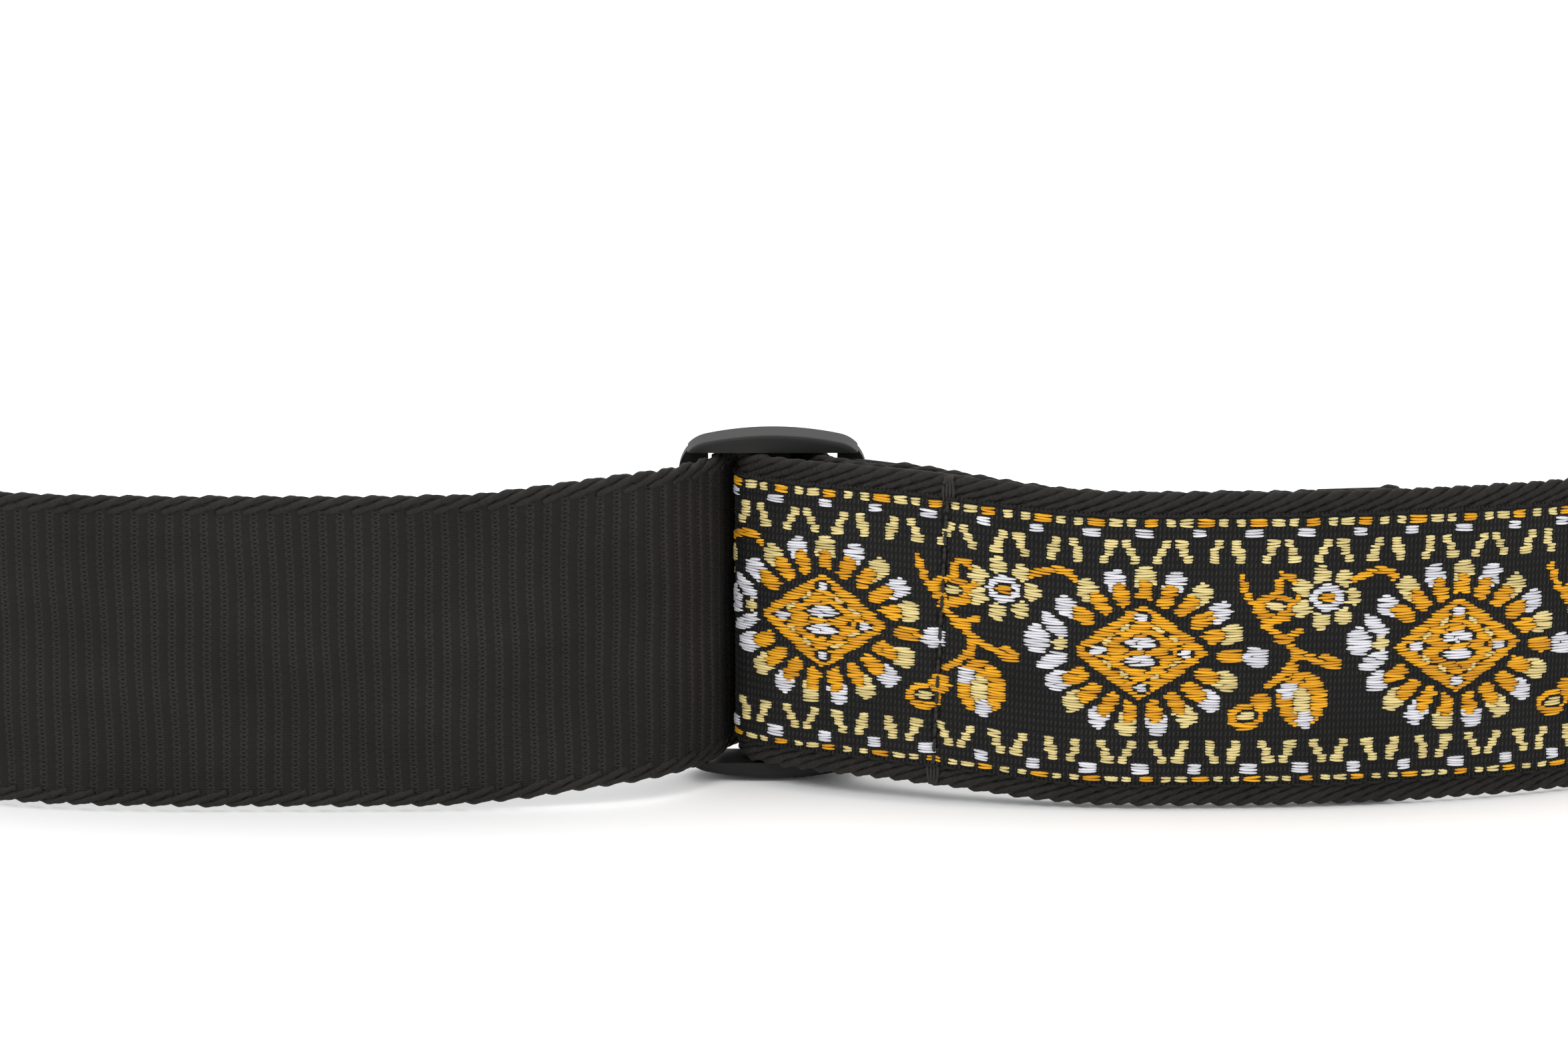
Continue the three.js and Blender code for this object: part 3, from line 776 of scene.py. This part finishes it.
def thread_material(name, dark, light):
    """Glossy embroidery thread: filaments run along each float and every float has its own tone."""
    material, tree, shader = new_material(name, 0.45, 0.25)
    place = weave_coordinates(tree)
    split = tree.nodes.new("ShaderNodeSeparateXYZ")
    link(tree, place, split.inputs[0])
    filaments = noise(tree, scaled(tree, place, (0.9, 14, 3)), 1.0, 3)
    soft_tone = math_node(tree, "MULTIPLY", split.outputs[2], 0.4)
    tone = math_node(tree, "ADD", math_node(tree, "MULTIPLY", filaments, 0.6), soft_tone)
    link(tree, ramp(tree, tone, [(0.2, dark), (0.7, light)]), shader.inputs["Base Color"])
    shader.inputs["Sheen Weight"].default_value = 0.05
    bump(tree, shader, filaments, 0.5, 0.08)
    return material


def plastic_material(name, colour, light):
    material, tree, shader = new_material(name, 0.5, 0.2)
    texture = tree.nodes.new("ShaderNodeTexCoord")
    grain = noise(tree, texture.outputs["Object"], 5200, 2)
    smear = noise(tree, texture.outputs["Object"], 140, 3)
    tint = ramp(tree, smear, [(0.3, colour), (0.8, light)])
    link(tree, tint, shader.inputs["Base Color"])
    bump(tree, shader, grain, 0.25, 0.05)
    return material


def leather_material(name, dark, light):
    material, tree, shader = new_material(name, 0.5, 0.4)
    place = weave_coordinates(tree)
    cells = tree.nodes.new("ShaderNodeTexVoronoi")
    cells.feature = "DISTANCE_TO_EDGE"
    cells.inputs["Scale"].default_value = 1.0
    warped = scaled(tree, place, (0.85, 0.85, 0))
    link(tree, warped, cells.inputs["Vector"])
    crease = math_node(tree, "MINIMUM", cells.outputs["Distance"], 0.22)
    fine = noise(tree, place, 1.6, 5)
    patches = noise(tree, scaled(tree, place, (0.07, 0.07, 0)), 1.0, 3)
    colour = ramp(tree, patches, [(0.3, dark), (0.75, light)])
    link(tree, colour, shader.inputs["Base Color"])
    deep = math_node(tree, "MULTIPLY", crease, 2.5)
    height = math_node(tree, "ADD", deep, math_node(tree, "MULTIPLY", fine, 0.35))
    bump(tree, shader, height, 0.55, 0.25)
    return material


GAP_SHADE = (0.0012, 0.0011, 0.001)  # painted shade for the gaps between threads
# Each webbing material's brighter second colour is a painted highlight, shown where the weave's third
# coordinate asks for it.
black_webbing = webbing_material("black_webbing", (0.0105, 0.0096, 0.0088), (0.028, 0.0255, 0.0235), 0.42)
black_cord = webbing_material("black_cord", (0.018, 0.0165, 0.0152), (0.03, 0.028, 0.026), 0.3)
black_ground = webbing_material("black_ground", (0.006, 0.0058, 0.0056), (0.033, 0.0315, 0.03), 0.5)
gold_thread = thread_material("gold_thread", (0.46, 0.185, 0.003), (0.78, 0.39, 0.008))
cream_thread = thread_material("cream_thread", (0.45, 0.36, 0.14), (0.74, 0.62, 0.28))
white_thread = thread_material("white_thread", (0.44, 0.44, 0.48), (0.72, 0.72, 0.76))
black_thread = webbing_material("black_thread", (0.011, 0.0105, 0.01), (0.02, 0.019, 0.018), 0.3)
seam_thread = webbing_material("seam_thread", (0.03, 0.0285, 0.027), (0.05, 0.048, 0.046), 0.3)
black_plastic = plastic_material("black_plastic", (0.007, 0.0067, 0.0064), (0.0115, 0.011, 0.0105))
black_leather = leather_material("black_leather", (0.008, 0.007, 0.0065), (0.02, 0.0175, 0.016))


def dress(piece, material, slot, *nodes):
    piece.data.materials.clear()
    piece.data.materials.append(material)
    if nodes:
        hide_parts(*nodes)
    return piece


# ---- The shoulder strap ----
backing = dress(
    webbing("backing_webbing_weave", strap_path, 0.2, strap_path.length, STRAP_WIDTH - 1.2),
    black_webbing, "webbing", "backing_webbing")
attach(backing, "main_strap")
for edge, word in ((1, "upper"), (-1, "lower")):
    cords = edge_cords(f"backing_cords_{word}", strap_path, 0.5, strap_path.length - 1,
                       STRAP_WIDTH, edge, 3.2, 4.3, 22)
    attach(dress(cords, black_cord, "webbing"), "main_strap")
ground = dress(ribbon_ground(), black_ground, "jacquard", "jacquard_ribbon")
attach(ground, "main_strap")
runs = float_runs()
threads = ((GOLD, "gold", gold_thread), (CREAM, "cream", cream_thread), (WHITE, "white", white_thread))
for colour, word, material in threads:
    piece = dress(floats(f"ribbon_{word}_floats", runs[runs[:, 3] == colour]), material, "jacquard")
    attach(piece, "main_strap")
ribbon_top = WEBBING / 2 + SKIN_GAP + RIBBON
loop_seam = seam_across("loop_seam", strap_path, seam_line, STRAP_WIDTH / 2 - 3, ribbon_top - 0.62)
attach(dress(loop_seam, seam_thread, "thread", "loop_stitching"), "main_strap")
for edge, word in ((1, "upper"), (-1, "lower")):
    wraps_start = seam_line(edge * 24) - 0.6
    wraps = seam_wraps(f"loop_seam_wraps_{word}", strap_path, wraps_start, edge, ribbon_top - 0.35)
    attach(dress(wraps, seam_thread, "thread"), "main_strap")
for edge, word in ((1, "upper"), (-1, "lower")):
    seam = seam_along(f"ribbon_seam_{word}", strap_path, ribbon_start + 3, strap_path.length - 42,
                      edge * (RIBBON_WIDTH / 2 - 0.35), ribbon_top - 0.25)
    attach(dress(seam, black_thread, "thread"), "main_strap")

# ---- The adjusting webbing and its tail ----
split_s = adjuster_path.near(10, -3.1)
run_blend = {"start": (-0.020, 0, 0.03), "end": (-0.19, 0, 0.03)}
tail_blend = {"start": (0.018, 0, 0.03), "end": (0.083, 0, 0.03)}
# The cords of the run stand a little prouder, to fill the slider's slots.
sections = (("run", 0.2, split_s, 0.4, run_blend, ("adjuster_webbing", "webbing_in_slider")),
            ("tail", split_s + 0.3, adjuster_path.length, 0.0, tail_blend, ("adjuster_tail", "tail_hem")))
for word, start, end, spread, span, nodes in sections:
    band = webbing(f"adjusting_webbing_{word}", adjuster_path, start, end, ADJUSTER_WIDTH - 0.8)
    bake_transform(dress(band, black_webbing, "webbing", *nodes))
    for edge, side in ((1, "upper"), (-1, "lower")):
        cords = edge_cords(f"adjusting_cords_{word}_{side}", adjuster_path, start + 0.2, end - 0.2,
                           ADJUSTER_WIDTH + spread, edge, 4.2, 1.6, 17, radius=0.56)
        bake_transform(dress(cords, black_cord, "webbing"))
hem_s = adjuster_path.length - HEM / 3
hem_seam = seam_across("tail_hem_seam", adjuster_path, lambda v: hem_s + 0 * v,
                       ADJUSTER_WIDTH / 2 - 1, WEBBING / 2 - 0.1)
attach(dress(hem_seam, black_thread, "thread", "tail_hem_stitching"), "adjuster")

# ---- The leather tabs ----
bare = WEBBING / 2
tabs = (("right", 1, "main_strap", {"outer": bare + SKIN_GAP + RIBBON, "inner": bare}),
        ("left", -1, "adjuster", {"outer": bare, "inner": bare}))
for word, side, body, layers in tabs:
    for face, outward in (("outer", side), ("inner", -side)):
        leather = leather_layer(f"{word}_tab_{face}_leather", side, outward, layers[face])
        dress(leather, black_leather, "leather", f"{word}_tab_{face}_ply", f"{word}_tab_tip")
        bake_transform(leather)
        sewn = tab_stitching(f"{word}_tab_{face}_seam", side, outward, layers[face])
        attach(dress(sewn, black_thread, "thread", f"{word}_tab_{face}_stitching"), body)

# ---- The slider keeps its CAD shape ----
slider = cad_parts["slider_frame"]
slider.data.materials.clear()
slider.data.materials.append(black_plastic)


# ---- Studio ----
def studio():
    floor_mesh = bpy.data.meshes.new("floor")
    size = 4.0
    corners = [(-size, -size, 0), (size, -size, 0), (size, size, 0), (-size, size, 0)]
    floor_mesh.from_pydata(corners, [], [(0, 1, 2, 3)])
    floor = bpy.data.objects.new("floor", floor_mesh)
    floor.location.z = cad_box[0][2] - 0.0005
    bpy.context.collection.objects.link(floor)
    pale, tree, shader = new_material("pale_floor", 0.9, 0.1)
    shader.inputs["Base Color"].default_value = (0.93, 0.93, 0.93, 1)
    floor.data.materials.append(pale)
    world = bpy.data.worlds.new("studio")
    world.use_nodes = True
    world.node_tree.nodes["Background"].inputs["Color"].default_value = (1, 1, 1, 1)
    world.node_tree.nodes["Background"].inputs["Strength"].default_value = 1.0
    bpy.context.scene.world = world
    for name, place, aim, size, power in (("key", (-0.5, -0.7, 0.9), (0, 0, 0.02), 0.5, 5),
                                          ("fill", (0.9, -0.8, 0.4), (0, 0, 0.02), 0.8, 1.2),
                                          ("top", (0, 0.25, 1.0), (0, 0, 0.02), 0.9, 4)):
        light = bpy.data.lights.new(name, "AREA")
        light.size = size
        light.energy = power
        lamp = bpy.data.objects.new(name, light)
        lamp.location = place
        direction = np.array(aim) - np.array(place)
        lamp.rotation_euler = Vector(direction).to_track_quat("-Z", "Y").to_euler()
        bpy.context.collection.objects.link(lamp)
    bpy.context.scene.view_settings.view_transform = "Standard"


def camera():
    distance = 0.65
    elevation = math.radians(13)
    target = Vector((0.0018, 0.0, 0.0415))
    place = target + Vector((0, -math.cos(elevation), math.sin(elevation))) * distance
    data = bpy.data.cameras.new("camera")
    data.sensor_width = 36
    data.lens = 36 * distance / 0.251
    data.clip_end = 20
    cam = bpy.data.objects.new("camera", data)
    cam.location = place
    cam.rotation_euler = (target - place).to_track_quat("-Z", "Y").to_euler()
    bpy.context.collection.objects.link(cam)
    bpy.context.scene.camera = cam


studio()
camera()
